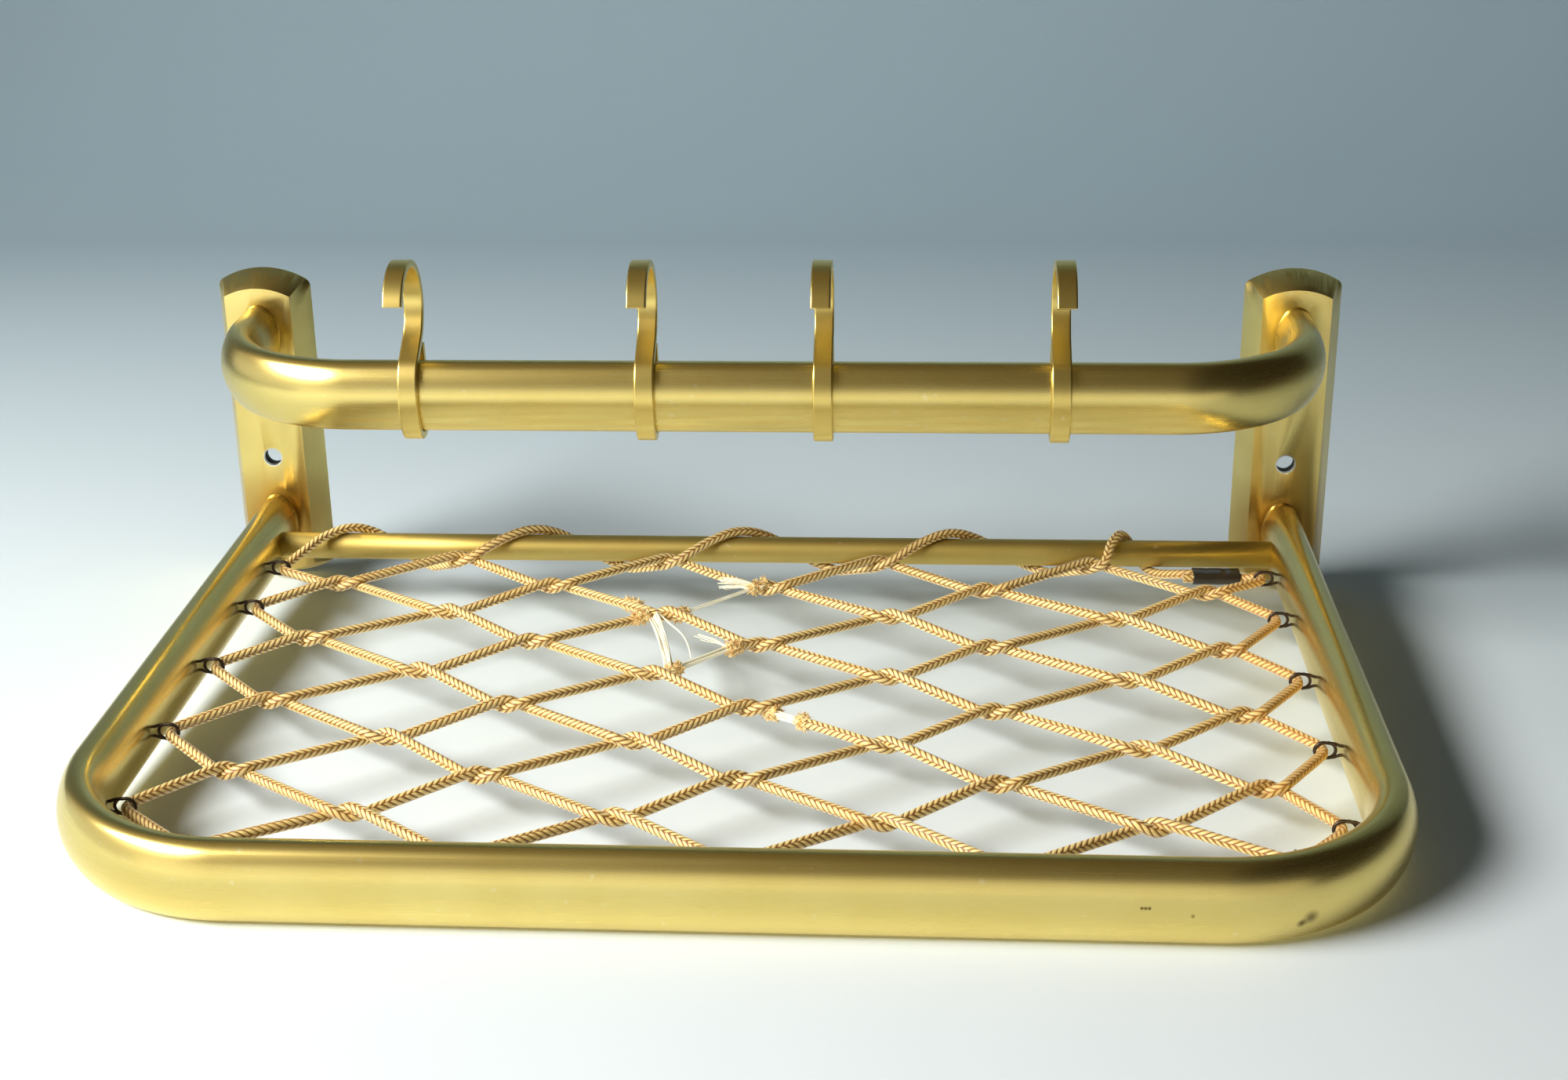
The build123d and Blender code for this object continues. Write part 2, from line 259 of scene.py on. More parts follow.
node(tree, "ShaderNodeOutputWorld", {"Surface": mixed})
print("world", world.name, "has", len(tree.nodes), "nodes")

# %% [markdown]
# ## Gold anodised aluminium
# The tubes and plates are aluminium, dyed gold and sealed: a satin metal whose highlights are wide and pale
# and whose shade is olive brown. It is a metallic surface of middling roughness. A slow noise varies the
# dye, a fine grain keeps the gloss from being even, and on the drawn tubes that grain is stretched to faint
# lines. Sparse pale specks are places where the dye is rubbed off. Towards the wall the colour turns a
# little orange in blotches: painted warm reflection and shade near the joints. A list of marks adds single
# round spots: a nick, a scuff, a patch of painted brown reflection and shade, or the bare ring that a screw
# head leaves round its hole.

# %% Gold finish


def gold_finish(name, dye, deep, gloss, run=None, grain=(1.0, 1.0, 1.0), marks=()):
    """Satin and metallic. The grain follows a stored place, or the object's axes, times grain."""
    material, tree, place = new_material(name)
    lined = node(tree, "ShaderNodeAttribute", attribute_name=run).outputs["Vector"] if run else place
    # The dye is cloudy over some 30 mm. The grain is 0.5 mm across, coarser than real, so that it shows.
    cloud = node(tree, "ShaderNodeTexNoise", {"Vector": place, "Scale": 1 / 0.03, "Detail": 3.0})
    paint = node(tree, "ShaderNodeMix", {0: cloud, 6: colour(deep), 7: colour(dye)}, data_type="RGBA")
    stretched = node(tree, "ShaderNodeMapping", {"Vector": lined, "Scale": grain})
    lines = node(tree, "ShaderNodeTexNoise", {"Vector": stretched, "Scale": 1 / 0.0005, "Detail": 2.0})
    rough = node(tree, "ShaderNodeMapRange", {0: lines, 1: 0.3, 2: 0.7, 3: gloss - 0.006, 4: gloss + 0.006})
    # Towards the wall, in blotches, the colour turns orange: painted warm reflection and shade near the
    # joints.
    near_wall = node(tree, "ShaderNodeSeparateXYZ", {0: place})
    wall = node(tree, "ShaderNodeMapRange", {0: near_wall.outputs["Y"], 1: -0.11, 2: -0.01, 4: 0.22})
    blotch = node(tree, "ShaderNodeTexNoise", {"Vector": place, "Scale": 1 / 0.02, "Detail": 1.0})
    painted_warm_patches = node(tree, "ShaderNodeMapRange", {0: blotch, 1: 0.4, 2: 0.8})
    turned = node(tree, "ShaderNodeMath", {0: wall, 1: painted_warm_patches}, operation="MULTIPLY")
    speck = node(tree, "ShaderNodeTexNoise", {"Vector": place, "Scale": 1 / 0.0045, "Detail": 2.0})
    rubbed = node(tree, "ShaderNodeMapRange", {0: speck, 1: 0.68, 2: 0.78, 4: 0.35})
    layers = [(turned, "#C08A38"), (rubbed, "#F2EBC8")]
    for spot, inner, outer, tint in marks:
        away = node(tree, "ShaderNodeVectorMath", {0: place, 1: spot}, operation="DISTANCE").outputs["Value"]
        near = node(tree, "ShaderNodeMapRange", {0: away, 1: inner, 2: outer, 3: 1.0, 4: 0.0})
        layers.append((near, tint))
    for share, tint in layers:
        both = {0: share, 6: paint.outputs[2], 7: colour(tint)}
        paint = node(tree, "ShaderNodeMix", both, data_type="RGBA")
    bump = node(tree, "ShaderNodeBump", {"Height": lines, "Strength": 0.006, "Distance": 0.0002})
    metal = node(
        tree,
        "ShaderNodeBsdfPrincipled",
        {"Base Color": paint.outputs[2], "Metallic": 1.0, "Roughness": rough, "Normal": bump},
    )
    node(tree, "ShaderNodeOutputMaterial", {"Surface": metal})
    return material


# %% Marks and golds
PLATE_X, PLATE_FACE, RIM_Z = 229.6, -14.5, 33.3
DRAWN = (1.0, 1 / 120, 1.0)
# A mark is a place, an inner and an outer radius in metres, and a tint.
# On the front of the rim: a nick of three spots, a scuff of two, and a small mark.
nicks = [
    *(((x, -0.3428, 0.0316), 0.0002, 0.0008, "#6B5526") for x in (-0.1386, -0.1398, -0.1410)),
    ((-0.1931, -0.3364, 0.0374), 0.0008, 0.0034, "#8C7A4A"),
    ((-0.1902, -0.3372, 0.0392), 0.0004, 0.0022, "#6E5C30"),
    ((-0.1548, -0.3428, 0.0341), 0.0003, 0.0009, "#A88E4C"),
]
# On the plates: brown round each end of the rim, a painted reflection and shade where the tube meets the
# plate, and a bare ring round each screw hole.
plate_marks = []
for z, inner, outer, tint in ((RIM_Z, 8.0, 32.0, "#B08036"), (0.0, 4.4, 4.7, "#DDD8C8")):
    for x in (-PLATE_X, PLATE_X):
        plate_marks.append((Vector((x, PLATE_FACE, z)) * MM, inner * MM, outer * MM, tint))
drawn_gold = gold_finish("anodised_aluminium_drawn_gold", "#E8D588", "#DCC470", 0.27, "run", DRAWN, nicks)
pressed_gold = gold_finish("anodised_aluminium_pressed_gold", "#EAD88C", "#E1CA77", 0.3, marks=plate_marks)
strip_gold = gold_finish("anodised_aluminium_strip_gold", "#E6D180", "#DABF68", 0.3)
# The crossbar's dye is darker than the other golds: painted shade.
painted_shade_bar_gold = gold_finish("anodised_aluminium_bar_gold", "#C6B26A", "#B49E56", 0.55, "run", DRAWN)
# The paler finish of the rounded edges is a painted highlight.
edge_gold = gold_finish("anodised_aluminium_worn_edge", "#F6ECC0", "#EFE0A4", 0.5)

# %% [markdown]
# ## Bent tubes, by Geometry Nodes
# Three tubes share one rule: an outline swept along a path. Rail and shelf rim are an oval of four arcs
# bent to a U, the crossbar is round and straight. The CAD nodes have facets that a satin metal shows,
# so the tree sweeps a finer outline along the same path. It stores how far round and how far along each
# point lies, for the drawn lines, and a Solidify modifier gives the wall. Both ends of a bent tube are
# flared behind the plates: a path's point radius scales the outline there. Every tree starts with its
# named inputs and ends in the same two nodes, which turn instances to plain mesh and set the material.

# %% Tree helpers


def new_tree(name, result, sockets):
    """A tree with one output, and with inputs of a name, a kind and, where it has one, a value."""
    tree = bpy.data.node_groups.new(name, "GeometryNodeTree")
    for label, kind, *value in sockets:
        socket = tree.interface.new_socket(label, in_out="INPUT", socket_type=f"NodeSocket{kind}")
        if value:
            socket.default_value = value[0]
    tree.interface.new_socket(result, in_out="OUTPUT", socket_type="NodeSocketGeometry")
    return tree, node(tree, "NodeGroupInput").outputs


def measured(tree, *curves):
    """Stores a measure on each curve before it becomes a mesh; gives the curves with their measures."""
    kept = []
    for curve, measure in curves:
        along = node(tree, "GeometryNodeSplineParameter").outputs[measure]
        keep = node(tree, "GeometryNodeCaptureAttribute")
        keep.capture_items.new("FLOAT", measure)
        tree.links.new(curve, keep.inputs[0])
        tree.links.new(along, keep.inputs[1])
        kept.append(keep.outputs[:2])
    return kept


def end_tree(tree, shape, finish):
    real = node(tree, "GeometryNodeRealizeInstances", {0: shape})
    finished = node(tree, "GeometryNodeSetMaterial", {"Geometry": real, "Material": finish})
    node(tree, "NodeGroupOutput", {0: finished})
    print("tree", tree.name, "has", len(tree.nodes), "nodes")


# %% Sweep trees


def sweep_tree(name, normals, caps):
    """A tree that sweeps an outline along a path; normals says how the outline is kept from turning."""
    sockets = (("Path", "Geometry"), ("Outline", "Object"), ("Finish", "Material"))
    tree, given = new_tree(name, "Swept", sockets)
    level = node(tree, "GeometryNodeSetCurveNormal", {"Curve": given["Path"]}, mode=normals)
    drawn = node(tree, "GeometryNodeObjectInfo", {"Object": given["Outline"]}).outputs["Geometry"]
    (path, along), (outline, around) = measured(tree, (level.outputs[0], "Length"), (drawn, "Length"))
    flare = node(tree, "GeometryNodeInputRadius")
    swept = node(
        tree,
        "GeometryNodeCurveToMesh",
        {"Curve": path, "Profile Curve": outline, "Scale": flare, "Fill Caps": caps},
    )
    run = node(tree, "ShaderNodeCombineXYZ", {0: around, 1: along})
    stored = node(
        tree,
        "GeometryNodeStoreNamedAttribute",
        {"Geometry": swept, "Name": "run", "Value": run},
        data_type="FLOAT_VECTOR",
        domain="POINT",
    )
    end_tree(tree, stored, given["Finish"])
    return tree


tube_tree = sweep_tree("swept_tube", "Z_UP", False)
strip_tree = sweep_tree("swept_strip", "MINIMUM_TWIST", True)

# %% Outlines and paths
END_RADIUS, END_CENTRE, SIDE_RADIUS, SIDE_CENTRE = 6.2, 8.8, 22.14, 13.29
JOIN = math.degrees(math.atan2(END_CENTRE, SIDE_CENTRE))
BAR_RADIUS = 5.85
FLARE = 1.14


def poly(name, *lines, radii=None, closed=False):
    """A curve object of straight lines through points in millimetres."""
    curve = bpy.data.curves.new(name, "CURVE")
    curve.dimensions = "3D"
    for points in lines:
        line = curve.splines.new("POLY")
        line.points.add(len(points) - 1)
        for i, place in enumerate(points):
            line.points[i].co = (*(Vector(place).to_3d() * MM), 1.0)
            line.points[i].radius = radii[i] if radii else 1.0
        line.use_cyclic_u = closed
    return new_object(name, curve)


def arc(centre, radius, start, sweep, steps):
    angles = (math.radians(start + sweep * i / steps) for i in range(steps + 1))
    return [(centre[0] + radius * math.cos(a), centre[1] + radius * math.sin(a)) for a in angles]


oval = arc((-SIDE_CENTRE, 0), SIDE_RADIUS, -JOIN, 2 * JOIN, 14)[:-1]
oval += arc((0, END_CENTRE), END_RADIUS, JOIN, 180 - 2 * JOIN, 16)[:-1]
oval += arc((SIDE_CENTRE, 0), SIDE_RADIUS, 180 - JOIN, 2 * JOIN, 14)[:-1]
oval += arc((0, -END_CENTRE), END_RADIUS, 180 + JOIN, 180 - 2 * JOIN, 16)[:-1]
oval_outline = poly("oval_outline", oval, closed=True)
round_outline = poly("round_outline", arc((0, 0), BAR_RADIUS, 0, 360, 48)[:-1], closed=True)


def bent_path(reach, bend, z):
    """Stations along a U from the left plate to the right one, with the outline's scale at each."""
    left = [(-PLATE_X, y) for y in (-11.1, -12.6, -12.62)]
    left += [(-PLATE_X, y) for y in range(-20, int(bend - reach), -8)]
    left += arc((bend - PLATE_X, bend - reach), bend, 180, 90, 36)
    left += [(x, -reach) for x in range(int(bend - PLATE_X) + 8, 0, 8)]
    stations = left + [(-x, y) for x, y in reversed(left)]
    scales = [FLARE, FLARE] + [1.0] * (len(stations) - 4) + [FLARE, FLARE]
    return [(x, y, z) for x, y in stations], scales


print("oval of", len(oval), "points")

# %% From a source object to a fixed piece


def plain_mesh(source, name):
    """The evaluated shape of an object as a mesh of its own; the object goes."""
    evaluated = source.evaluated_get(bpy.context.evaluated_depsgraph_get())
    mesh = bpy.data.meshes.new_from_object(evaluated)
    mesh.name = name
    bpy.data.objects.remove(source)
    mesh.shade_smooth()
    return mesh


def shaped(source, tree, name, **inputs):
    """The mesh that a tree makes of an object, with the tree's inputs set by their identifiers."""
    modifier = source.modifiers.new("shape", "NODES")
    modifier.node_group = tree
    sockets = {item.name: item.identifier for item in tree.interface.items_tree}
    for label, value in inputs.items():
        modifier[sockets[label]] = value
    return plain_mesh(source, name)


def add_wall(piece, thickness):
    """Gives a shell its wall, inwards from the drawn surface."""
    wall = piece.modifiers.new("wall", "SOLIDIFY")
    wall.thickness = thickness * MM
    wall.offset = -1.0
    return wall


def span(points):
    return [round((max(p[k] for p in points) - min(p[k] for p in points)) / MM, 1) for k in range(3)]


def fixed(piece, body, slot, *replaced):
    """Fixes a piece to its body, in place of the CAD nodes it stands for, and prints the sizes of both."""
    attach(piece, body)
    if replaced:
        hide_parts(*replaced)
    corners = [Vector(corner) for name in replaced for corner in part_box(name)]
    points = [vertex.co for vertex in piece.data.vertices]
    print(piece.name, len(points), "points,", span(points), "mm for", span(corners) if corners else "none")


# %% Rail, shelf rim and crossbar
RAIL_REACH, RAIL_Z = 96.0, -57.3
RAIL_BEND, RIM_BEND = 60.0, 66.0
BAR_REACH, BAR_HALF = 39.5, 223.7
TUBE_WALL, BAR_WALL = 1.5, 1.2


def swept_tube(name, stations, scales, outline, wall, replaced, finish=drawn_gold):
    path = poly(f"{name}_path", stations, radii=scales)
    piece = new_object(name, shaped(path, tube_tree, name, Outline=outline, Finish=finish))
    add_wall(piece, wall)
    fixed(piece, "rack", "anodised_gold", replaced)


rail_path = bent_path(RAIL_REACH, RAIL_BEND, RAIL_Z)
rim_path = bent_path(RIM_REACH, RIM_BEND, RIM_Z)
bar_stations = [(x, -BAR_REACH, RIM_Z) for x in (-BAR_HALF, -120, 0, 120, BAR_HALF)]
swept_tube("bent_coat_rail", *rail_path, oval_outline, TUBE_WALL, "coat_rail")
swept_tube("bent_shelf_rim", *rim_path, oval_outline, TUBE_WALL, "shelf_tube")
swept_tube("round_crossbar", bar_stations, None, round_outline, BAR_WALL, "shelf_crossbar", painted_shade_bar_gold)
for outline in (oval_outline, round_outline):
    bpy.data.objects.remove(outline)

# %% [markdown]
# ## Pressed plates
# The plates are pressed from sheet, so no edge is sharp. Each is a copy of its CAD mesh whose loose
# triangles are merged, with a Bevel modifier that rounds the edges and keeps the flats flat. The rounded
# edges take a paler finish: a painted highlight along the edges.

# %% Plates
PLATE_EDGE = 0.9


def break_edges(piece, width):
    bevel = piece.modifiers.new("broken_edges", "BEVEL")
    bevel.width = width * MM
    bevel.segments = 3
    bevel.limit_method = "ANGLE"
    bevel.angle_limit = math.radians(22)
    bevel.harden_normals = True
    return bevel


for side in ("left", "right"):
    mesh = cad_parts[f"wall_plate_{side}"].data.copy()
    mesh.name = f"pressed_plate_{side}"
    shell = bmesh.new()
    shell.from_mesh(mesh)
    bmesh.ops.remove_doubles(shell, verts=shell.verts, dist=0.02 * MM)
    bmesh.ops.dissolve_limit(shell, angle_limit=math.radians(1.0), verts=shell.verts, edges=shell.edges)
    shell.to_mesh(mesh)
    shell.free()
    mesh.materials.clear()
    mesh.materials.append(pressed_gold)
    mesh.materials.append(edge_gold)
    mesh.shade_smooth()
    plate = new_object(mesh.name, mesh)
    break_edges(plate, PLATE_EDGE).material = 1
    fixed(plate, "rack", "anodised_gold", f"wall_plate_{side}")

# %% [markdown]
# ## Strip hooks, by Geometry Nodes
# Each hook is one strip, bent into a ring that closes round the oval rail, with a leg behind and a curl
# in front. Bent strip is a sweep too: a flat outline with rounded corners, carried along the line of
# bends without a twist. The arcs are those of the rail's oval, larger by half the strip and its
# clearance.

# %% Strip hooks
HOOK_X = (-123.5, -27.6, 45.0, 142.3)
STRIP_WIDTH, STRIP_THICKNESS, STRIP_CORNER, STRIP_EDGE = 8.0, 3.2, 0.6, 0.45
HOOK_GAP = 0.4 + STRIP_THICKNESS / 2
HOOK_REAR, HOOK_LEG, HOOK_UNDER, HOOK_STEM = 8.0, 16.4, 22.5, 10.4
CURL_RADIUS, CURL_SWEEP = 19.5, 215.0


def ahead(point, angle, distance):
    """A point further along an arc's tangent at an angle, counter-clockwise."""
    turn = math.radians(angle)
    return (point[0] - distance * math.sin(turn), point[1] + distance * math.cos(turn))


def hook_line():
    """The middle of the strip, seen along the rail: forwards and up from the middle of the rail."""
    line = arc((-SIDE_CENTRE, 0), SIDE_RADIUS + HOOK_GAP, -HOOK_REAR, HOOK_REAR + JOIN, 12)
    line.insert(0, ahead(line[0], -HOOK_REAR, -HOOK_LEG))
    line += arc((0, END_CENTRE), END_RADIUS + HOOK_GAP, JOIN, 180 - 2 * JOIN, 20)[1:]
    line += arc((SIDE_CENTRE, 0), SIDE_RADIUS + HOOK_GAP, 180 - JOIN, 2 * JOIN, 16)[1:]
    line += arc((0, -END_CENTRE), END_RADIUS + HOOK_GAP, 180 + JOIN, HOOK_UNDER, 6)[1:]
    heading = 180 + JOIN + HOOK_UNDER
    line.append(ahead(line[-1], heading, HOOK_STEM))
    centre = ahead(line[-1], heading - 90, CURL_RADIUS)
    return line + arc(centre, CURL_RADIUS, heading - 180, -CURL_SWEEP, 64)[1:]


def strip_section():
    points = []
    for start, side, end in ((0, 1, 1), (90, -1, 1), (180, -1, -1), (270, 1, -1)):
        middle = (side * (STRIP_WIDTH / 2 - STRIP_CORNER), end * (STRIP_THICKNESS / 2 - STRIP_CORNER))
        corner = arc(middle, STRIP_CORNER, start, 90, 4)
        points += [ahead(corner[0], start, -0.25), *corner, ahead(corner[-1], start + 90, 0.25)]
    return points


strip_outline = poly("strip_outline", strip_section(), closed=True)
for i, x in enumerate(HOOK_X, 1):
    path = poly(f"strip_hook_{i}_path", [(x, y - RAIL_REACH, z + RAIL_Z) for y, z in hook_line()])
    mesh = shaped(path, strip_tree, f"strip_hook_{i}", Outline=strip_outline, Finish=strip_gold)
    mesh.set_sharp_from_angle(angle=math.radians(40))
    hook = new_object(mesh.name, mesh)
    break_edges(hook, STRIP_EDGE)
    fixed(hook, f"hook_{i}", "hook_gold", f"coat_hook_{i}")
bpy.data.objects.remove(strip_outline)

# %% [markdown]
# ## The net's lattice
# Five cord loops make the net. Each zigzags from left to right and back, the first one wound round the
# crossbar on its way there, and hooks round its neighbour at every crossing, so a crossing is two cords
# twisted half a turn. The numbers are those of the CAD model, in millimetres; columns run from the left
# eyes to the right eyes and rows from the crossbar to the front eyes.

# %% Lattice
NET_Z = 34.0
CORD = 3.9
PITCH_X, PITCH_Y = 46.6875, 29.206
COLUMN_X = [-213.75, *(-192.25 + PITCH_X * i for i in range(9)), 213.75]
ROW_Y = [-52.0 - PITCH_Y * i for i in range(10)]
BEND_X, BEND_Y, BEND_INNER = 163.6, -268.0, 57.15
SIDE_EYE, FRONT_EYE, EYE_PASS = 7.0, 10.3, 3
HOOK_OVER, HOOK_RISE, HALF_HOOK = 1.5, 1.6, 3.2
FIRST_WIND, WIND_RADIUS = -177.75, 9.353


def side_eye(side, row):
    y = ROW_Y[row] if row else ROW_Y[0] - PITCH_Y / 2
    wall = BEND_X + math.sqrt(BEND_INNER**2 - min(0, y - BEND_Y) ** 2)
    return Vector((side * (wall - SIDE_EYE), y, RIM_Z))


def front_eye(column):
    x = COLUMN_X[column]
    wall = BEND_Y - math.sqrt(BEND_INNER**2 - max(0, abs(x) - BEND_X) ** 2)
    return Vector((x, wall + FRONT_EYE, RIM_Z))


def crossing(column, row, reach):
    """Two points of a cord hooked round its neighbour; reach is 1 from the front, -1 from the wall."""
    x, y = COLUMN_X[column], ROW_Y[row] + reach * HOOK_OVER
    rise = reach * HOOK_RISE * (1 if row == 0 or column % 2 else -1)
    return [Vector((x - HALF_HOOK, y, NET_Z + rise)), Vector((x + HALF_HOOK, y, NET_Z - rise))]


def zigzag(strand):
    points = []
    for column in range(1, 10):
        if column % 2 != strand % 2:
            points += crossing(column, strand - 1, 1)
        elif strand < 9:
            points += crossing(column, strand, -1)
        else:
            points += [front_eye(column) + Vector((x, 0, 0)) for x in (-EYE_PASS, EYE_PASS)]
    return points


def through_eye(side, row):
    return [side_eye(side, row) + Vector((0, y, 0)) for y in (EYE_PASS, -EYE_PASS)]


def lacing():
    """Points of the cord that winds round the crossbar from left to right, starting at the sleeve."""
    stops = [FIRST_WIND, *COLUMN_X[2::2]]
    points = []
    for i, (start, end) in enumerate(zip(stops, stops[1:])):
        for share, angle in ((0.23, 285), (0.39, 225), (0.54, 165), (0.69, 105), (0.84, 45)):
            turn = math.radians(angle)
            y, z = -BAR_REACH - WIND_RADIUS * math.cos(turn), RIM_Z - WIND_RADIUS * math.sin(turn)
            points.append(Vector((start + share * (end - start), y, z)))
        if end < COLUMN_X[-1]:
            points += crossing(2 * i + 2, 0, -1)
    return points


print("net lattice of", len(COLUMN_X) - 2, "columns and", len(ROW_Y) - 1, "rows")

# %% [markdown]
# ## Routes of the five loops
# The net is pulled taut, so each leg is straight and each crossing is a short hook. A smooth spline
# keeps that when a straight run has one more point near each of its corners, about as far from the
# corner as the hook is long. Three loops are torn: each of those starts and ends where its cover stops.

# %% Routes
LONG_LEG, LEAD = 20, 6.0
SLEEVE_LENGTH = 20
SLEEVE = Vector((8.0, 9.0, 3.0)) + side_eye(-1, 0)
BORE = Vector((0, 2.25, 0))
MEETING = Vector((0, 0.15, 0))


def pulled_taut(points):
    """Adds the point near each end of a long straight leg."""
    route = [points[0]]
    for start, end in zip(points, points[1:]):
        if (end - start).length > LONG_LEG:
            lead = (end - start).normalized() * LEAD
            route += [start + lead, end - lead]
        route.append(end)
    return route


inner = SLEEVE + Vector((SLEEVE_LENGTH, 0, 0))
routes = {}
routes["net_loop_1"] = [
    SLEEVE + BORE + Vector((0.3, 0, 0)),
    inner + BORE + Vector((3, 0, 0)),
    *lacing(),
    *through_eye(1, 0),
    *zigzag(1)[::-1],
    *through_eye(-1, 0)[::-1],
    SLEEVE - BORE - Vector((3, 0, 0)),
    inner - BORE + Vector((4, 0, 0)),
]
# Each tear: the row and column of its leg, and the shares of the leg between which the core lies bare.
tears = {
    "net_loop_2": (2, 5, 0.15, 0.82),
    "net_loop_3": (4, 5, 0.27, 0.75),
    "net_loop_4": (6, 4, 0.64, 0.88),
}
cores = {}
for name, (row, column, bare_from, bare_to) in tears.items():
    rear, front = zigzag(row), zigzag(row + 1)
    start, end = rear[2 * column - 1], rear[2 * column]
    cores[name] = (start.lerp(end, bare_from), start.lerp(end, bare_to))
    routes[name] = [cores[name][1], *rear[2 * column :], *through_eye(1, row), *front[::-1]]
    routes[name] += [*through_eye(-1, row)[::-1], *rear[: 2 * column], cores[name][0]]
last_eye = through_eye(1, 8)
routes["net_loop_5"] = [
    side_eye(1, 8) - MEETING,
    last_eye[1],
    *zigzag(9)[::-1],
    *through_eye(-1, 8)[::-1],
    *zigzag(8),
    last_eye[0],
    side_eye(1, 8) + MEETING,
]
for name, route in routes.items():
    routes[name] = pulled_taut(route)
    print(name, len(routes[name]), "points")

# %% [markdown]
# ## Braided cord, by Geometry Nodes
# The cord is a core of rubber threads in a braided cover. Its yarns show as short slanted picks in
# columns round the cord, slanting one way in a column and the other way in the next. The node tree
# resamples a route, sweeps a circle along it, and lifts the surface over each pick. It stores where
# each point lies round and along the cord, and the yarn's material works out the same picks again from
# that place, for each pixel.

# %% Height of the braid
COLUMNS = 4
# The real picks are some 2.3 mm long; a little longer, they still show on the far side of the net.
PICK = 2.7 * MM
SLANT = 1.3


def pick_height(tree, along, around, pick, columns):
    """The height of the braid, 0 in a groove to 1 on a pick, at a place along and round the cord."""
    place = node(tree, "ShaderNodeMath", {0: around, 1: columns}, operation="MULTIPLY")
    column = node(tree, "ShaderNodeMath", {0: place}, operation="FLOOR")
    across = node(tree, "ShaderNodeMath", {0: place}, operation="FRACT")
    odd = node(tree, "ShaderNodeMath", {0: column, 1: 1.0}, operation="PINGPONG")
    slant = node(tree, "ShaderNodeMath", {0: odd, 1: -2 * SLANT, 2: SLANT}, operation="MULTIPLY_ADD")
    lean = node(tree, "ShaderNodeMath", {0: across, 1: slant}, operation="MULTIPLY")
    count = node(tree, "ShaderNodeMath", {0: along, 1: pick}, operation="DIVIDE")
    leaned = node(tree, "ShaderNodeMath", {0: count, 1: lean}, operation="ADD")
    within = node(tree, "ShaderNodeMath", {0: leaned}, operation="FRACT")
    arches = []
    for share in (within, across):
        half_turn = node(tree, "ShaderNodeMath", {0: share, 1: math.pi}, operation="MULTIPLY")
        arch = node(tree, "ShaderNodeMath", {0: half_turn}, operation="SINE")
        arches.append(node(tree, "ShaderNodeMath", {0: arch, 1: 0.6}, operation="POWER"))
    bulge = node(tree, "ShaderNodeMath", {0: arches[1], 1: 0.5, 2: 0.5}, operation="MULTIPLY_ADD")
    return node(tree, "ShaderNodeMath", {0: arches[0], 1: bulge}, operation="MULTIPLY")


# %% Braid tree
braid_sockets = (
    ("Route", "Geometry"),
    ("Radius", "Float", (CORD / 2 - 0.13) * MM),
    ("Step", "Float", 0.46 * MM),
    ("Pick", "Float", PICK),
    ("Columns", "Int", COLUMNS),
    ("Relief", "Float", 0.28 * MM),
    ("Finish", "Material"),
)
braid_tree, given = new_tree("braided_cord", "Cord", braid_sockets)
tree = braid_tree
stepped = node(
    tree, "GeometryNodeResampleCurve", {"Curve": given["Route"], "Length": given["Step"]}, mode="LENGTH"
)
circle = node(tree, "GeometryNodeCurvePrimitiveCircle", {"Resolution": 24, "Radius": given["Radius"]})
curves = ((stepped.outputs[0], "Length"), (circle.outputs[0], "Factor"))
(route, along), (ring, around) = measured(tree, *curves)
tube = node(tree, "GeometryNodeCurveToMesh", {"Curve": route, "Profile Curve": ring, "Fill Caps": True})
height = pick_height(tree, along, around, given["Pick"], given["Columns"])
lift = node(tree, "ShaderNodeMath", {0: height, 1: given["Relief"]}, operation="MULTIPLY")
normal = node(tree, "GeometryNodeInputNormal")
push = node(tree, "ShaderNodeVectorMath", {0: normal, 3: lift}, operation="SCALE")
lifted = node(tree, "GeometryNodeSetPosition", {"Geometry": tube, "Offset": push})
angle = node(tree, "ShaderNodeMath", {0: around, 1: 2 * math.pi}, operation="MULTIPLY")
cosine = node(tree, "ShaderNodeMath", {0: angle}, operation="COSINE")
sine = node(tree, "ShaderNodeMath", {0: angle}, operation="SINE")
braid_place = node(tree, "ShaderNodeCombineXYZ", {0: cosine, 1: sine, 2: along})
stored = node(
    tree,
    "GeometryNodeStoreNamedAttribute",
    {"Geometry": lifted, "Name": "braid", "Value": braid_place},
    data_type="FLOAT_VECTOR",
    domain="POINT",
)
end_tree(tree, stored, given["Finish"])

# %% [markdown]
# ## Yarn of the cover
# Shiny rayon yarn, once golden tan, now a little brown with use. Each pick is painted pale on its crown and
# brown in its groove: painted highlight and painted shade of the braid's relief. The angle round the cord
# comes from a stored cosine and sine, so that no seam shows where the circle closes.

# %% Yarn finish
yarn, tree, place = new_material("rayon_braid_golden_tan")
stored_place = node(tree, "ShaderNodeAttribute", attribute_name="braid").outputs["Vector"]
parts = node(tree, "ShaderNodeSeparateXYZ", {0: stored_place}).outputs
angle = node(tree, "ShaderNodeMath", {0: parts["Y"], 1: parts["X"]}, operation="ARCTAN2")
around = node(tree, "ShaderNodeMath", {0: angle, 1: 1 / (2 * math.pi)}, operation="MULTIPLY")
height = pick_height(tree, parts["Z"], around, PICK, COLUMNS)
# Pale crowns and brown grooves: painted highlight and painted shade of the braid's relief.
crown = node(tree, "ShaderNodeMapRange", {0: height, 1: 0.42, 2: 0.82})
yarns = node(
    tree, "ShaderNodeMix", {0: crown, 6: colour("#844F1A"), 7: colour("#FFE498")}, data_type="RGBA"
)
# Handling has soiled the cover in stretches of some 20 mm.
soil = node(tree, "ShaderNodeTexNoise", {"Vector": place, "Scale": 1 / 0.02, "Detail": 3.0})
soiled = node(tree, "ShaderNodeMapRange", {0: soil, 1: 0.42, 2: 0.75, 4: 0.3})
